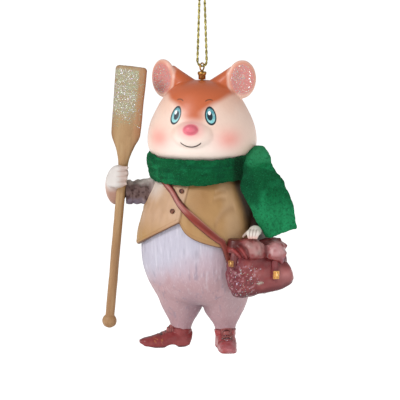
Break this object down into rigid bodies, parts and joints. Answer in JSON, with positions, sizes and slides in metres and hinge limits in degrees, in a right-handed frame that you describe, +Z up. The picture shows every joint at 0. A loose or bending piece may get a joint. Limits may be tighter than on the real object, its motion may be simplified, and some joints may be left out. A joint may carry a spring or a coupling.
{
  "type": "hanging resin animal ornament",
  "caption": "Painted resin rodent figure in waistcoat and trousers, with an oar, a satchel and a felt scarf, hung from its crown on a gold cord loop.",
  "frame": {"origin": "the point at the top of the cord loop where a hook carries it, straight above the screw eye", "axes": "+Z up; the figure faces -Y; its left hand side is +X"},
  "size_m": [0.0631, 0.0398, 0.1234],
  "materials": {
    "head_paint": "satin",
    "waistcoat_paint": "satin",
    "trouser_paint": "satin",
    "leather_paint": "satin",
    "sleeve_paint": "matte",
    "paw_paint": "satin",
    "oar_paint": "satin",
    "tail_paint": "satin",
    "gold_paint": "gloss",
    "button_paint": "satin",
    "green_felt": "matte",
    "brass": "satin",
    "gold_cord": "satin"
  },
  "bodies": {
    "hanger": {"hanger_cord": "gold_cord", "cord_knot": "gold_cord"},
    "figure": {"head": "head_paint", "torso": "waistcoat_paint", "trousers": "trouser_paint", "right_shoe": "leather_paint", "left_shoe": "leather_paint", "right_sleeve": "sleeve_paint", "left_sleeve": "sleeve_paint", "right_hand": "paw_paint", "left_hand": "paw_paint", "oar": "oar_paint", "tail": "tail_paint", "satchel_body": "leather_paint", "satchel_flap": "leather_paint", "satchel_strap": "leather_paint", "closing_tab_1": "leather_paint", "closing_tab_2": "leather_paint", "buckle_1": "gold_paint", "buckle_2": "gold_paint", "upper_button": "button_paint", "lower_button": "button_paint", "scarf_wrap": "green_felt", "hanger_cap": "brass", "hanger_eye": "brass"},
    "scarf_end": {"scarf_end": "green_felt"}
  },
  "joints": [
    {"name": "figure_swing", "type": "hinge", "parent": "hanger", "child": "figure", "pos_m": [0, 0, -0.0265], "axis": [0.9397, -0.342, 0], "range_deg": [-80, 80]},
    {"name": "scarf_end_lift", "type": "hinge", "parent": "figure", "child": "scarf_end", "pos_m": [0.01926, -0.01025, -0.05722], "axis": [-0.8948, -0.2329, -0.3809], "range_deg": [0, 60]}
  ]
}
